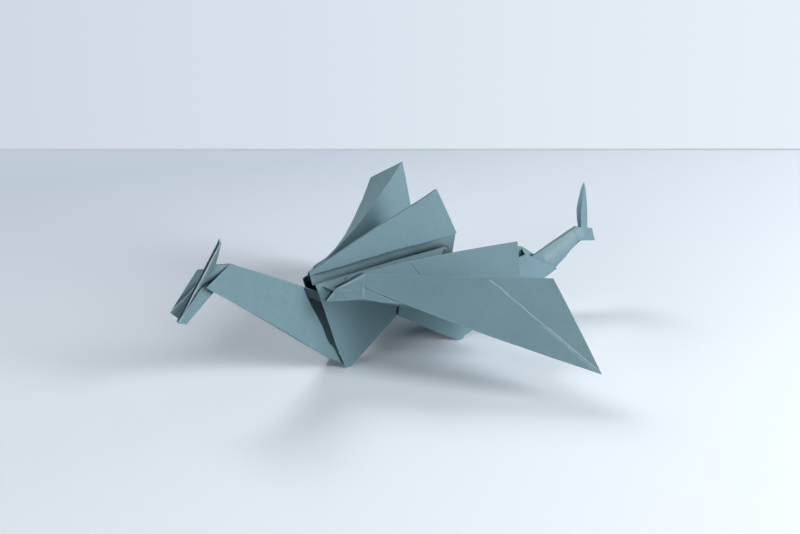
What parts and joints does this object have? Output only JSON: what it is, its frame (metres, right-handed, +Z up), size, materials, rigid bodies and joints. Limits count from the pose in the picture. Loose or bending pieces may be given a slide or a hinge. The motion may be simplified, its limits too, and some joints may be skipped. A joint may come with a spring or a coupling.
{
  "type": "origami dragon",
  "caption": "Folded paper dragon with a long slanted neck, pleated spread wings, a standing back fin and a tail that ends in an upright blade.",
  "frame": {"origin": "centre of the bounding box in plan, on the surface that the feet stand on", "axes": "+X from head to tail, -Y the side of the lower wing, +Z up"},
  "size_m": [0.1946, 0.1572, 0.0614],
  "materials": {
    "paper": "matte uncoated grey-blue craft paper, with paler worn fibres along its creases"
  },
  "bodies": {
    "root": {"folded_sheet": "paper"}
  },
  "joints": []
}
